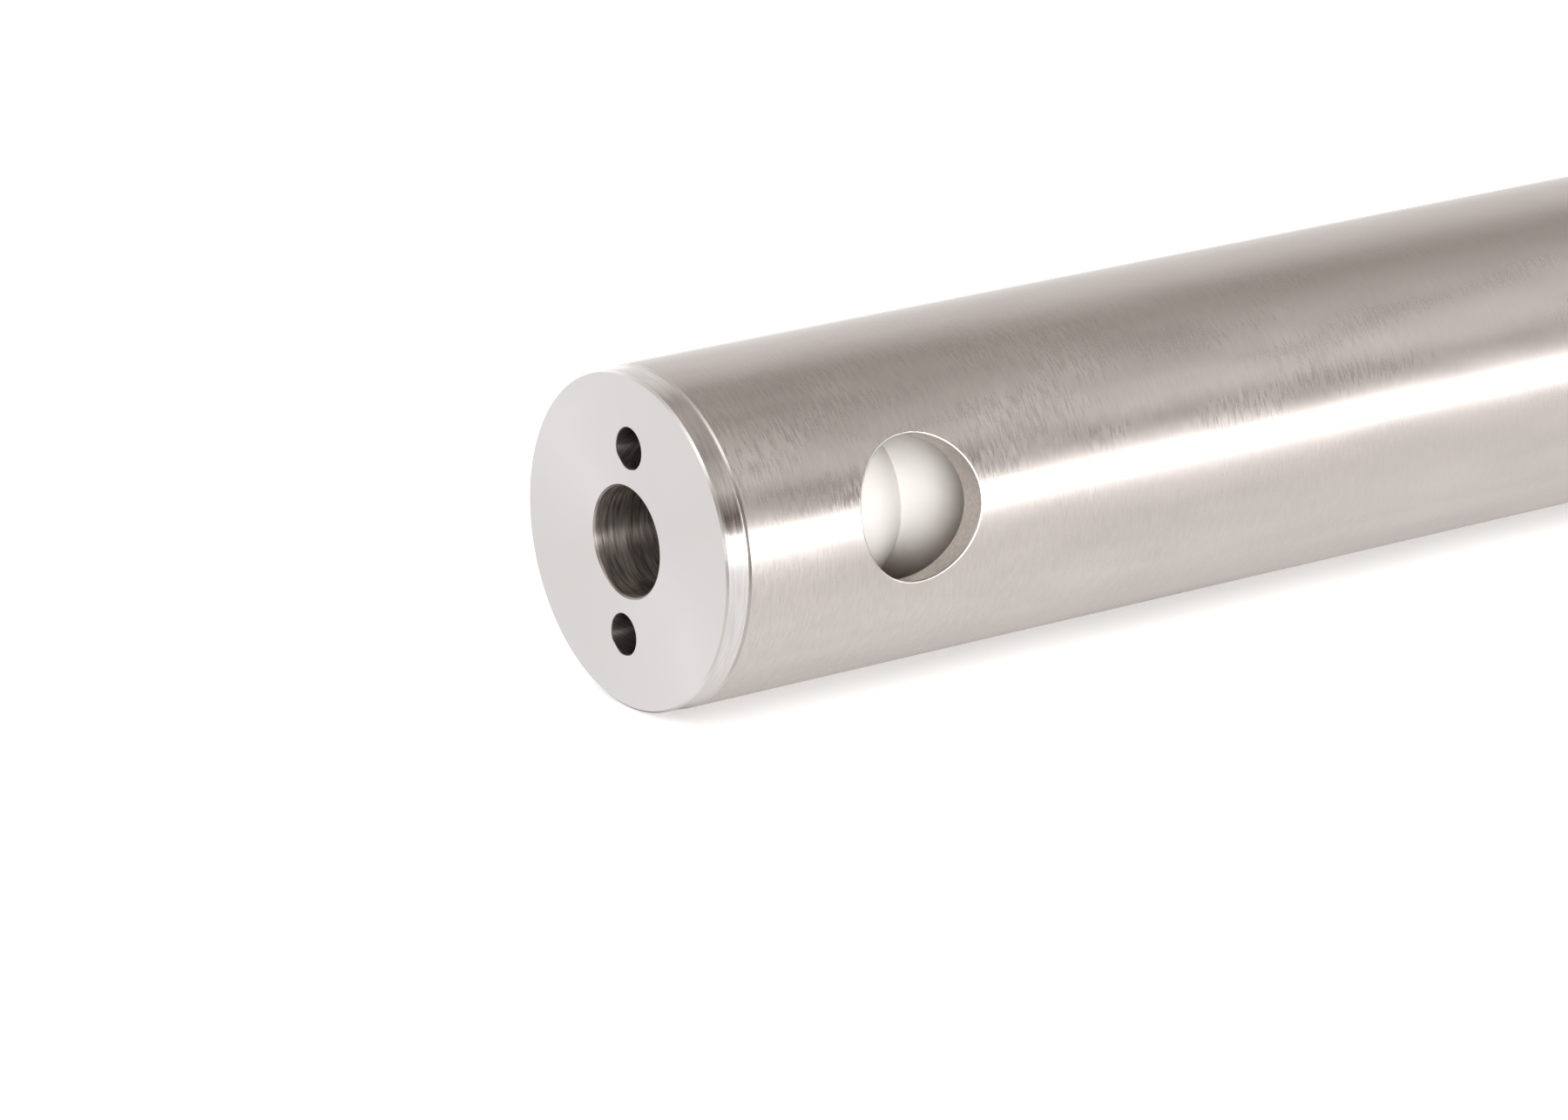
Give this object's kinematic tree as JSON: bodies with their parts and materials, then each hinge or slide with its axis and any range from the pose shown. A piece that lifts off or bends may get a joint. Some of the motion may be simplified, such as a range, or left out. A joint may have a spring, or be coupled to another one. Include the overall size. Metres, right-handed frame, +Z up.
{
  "type": "cnc turned part",
  "caption": "Round stainless tube with a side port, closed by a screwed end plug that has a centre bore and blind holes for a pin spanner, with a white guide bush behind the port.",
  "frame": {"origin": "centre of the tube's plain open end, on the surface that the part stands on", "axes": "+Z up the tube's axis to the end plug, -Y out of the side port"},
  "size_m": [0.04, 0.04, 0.2],
  "materials": {
    "ground_steel": "stainless steel, ground round the tube, satin",
    "faced_steel": "stainless steel, fine turned and faced",
    "white_polymer": "white acetal-like polymer, as turned"
  },
  "bodies": {
    "root": {"housing_tube": "ground_steel", "end_plug": "faced_steel", "guide_bush": "white_polymer"}
  },
  "joints": []
}
